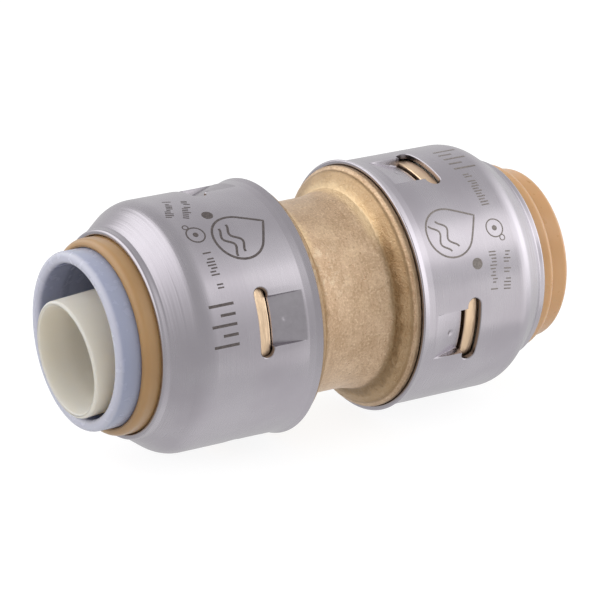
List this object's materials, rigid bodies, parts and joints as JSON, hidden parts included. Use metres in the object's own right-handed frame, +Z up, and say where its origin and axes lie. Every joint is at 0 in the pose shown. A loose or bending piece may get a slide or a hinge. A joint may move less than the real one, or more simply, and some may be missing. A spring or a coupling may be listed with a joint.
{
  "type": "push fit pipe coupling",
  "caption": "Straight push fit pipe coupling: brass body, steel end covers with tabbed slots, plastic release collars, toothed grab rings, O-rings and loose pipe liners.",
  "frame": {"origin": "middle of the brass body, on the pipe axis", "axes": "+X along the pipe axis towards the right socket, +Z up"},
  "size_m": [0.0575, 0.0274, 0.0274],
  "materials": {
    "brass": "cast skin, machined barrel",
    "cover_steel": "satin stainless steel",
    "spring_steel": "bright stainless spring steel",
    "tan_plastic": "moulded, satin",
    "grey_plastic": "moulded, satin",
    "white_plastic": "moulded",
    "black_rubber": "greased rubber",
    "cream_plastic": "moulded, matt"
  },
  "bodies": {
    "coupling": {"brass_body": "brass", "cover_left": "cover_steel", "cover_right": "cover_steel", "guide_ring_left": "tan_plastic", "guide_ring_right": "tan_plastic", "grab_support_left": "white_plastic", "grab_support_right": "white_plastic", "seal_protector_left": "white_plastic", "seal_protector_right": "white_plastic", "o_ring_left": "black_rubber", "o_ring_right": "black_rubber"},
    "release_collar_left": {"collar_left": "grey_plastic"},
    "release_collar_right": {"collar_right": "tan_plastic"},
    "gripping_ring_left": {"grab_ring_left": "spring_steel"},
    "gripping_ring_right": {"grab_ring_right": "spring_steel"},
    "loose_liner_left": {"liner_left": "cream_plastic"},
    "loose_liner_right": {"liner_right": "cream_plastic"}
  },
  "joints": [
    {"name": "grab_left_turn", "type": "hinge", "parent": "coupling", "child": "gripping_ring_left", "pos_m": [-0.0163, 0, 0], "axis": [1, 0, 0], "continuous": true},
    {"name": "grab_right_turn", "type": "hinge", "parent": "coupling", "child": "gripping_ring_right", "pos_m": [0.0163, 0, 0], "axis": [1, 0, 0], "continuous": true},
    {"name": "collar_left_push", "type": "slide", "parent": "gripping_ring_left", "child": "release_collar_left", "axis": [1, 0, 0], "range_m": [0, 0.0015], "stiffness_N_per_m": 1500, "deforming": ["grab_ring_left"]},
    {"name": "collar_right_push", "type": "slide", "parent": "gripping_ring_right", "child": "release_collar_right", "axis": [-1, 0, 0], "range_m": [0, 0.0015], "stiffness_N_per_m": 1500, "deforming": ["grab_ring_right"]},
    {"name": "liner_left_slide", "type": "slide", "parent": "coupling", "child": "loose_liner_left", "axis": [-1, 0, 0], "range_m": [-0.0035, 0.0235]},
    {"name": "liner_right_slide", "type": "slide", "parent": "coupling", "child": "loose_liner_right", "axis": [1, 0, 0], "range_m": [0, 0.0268]}
  ]
}
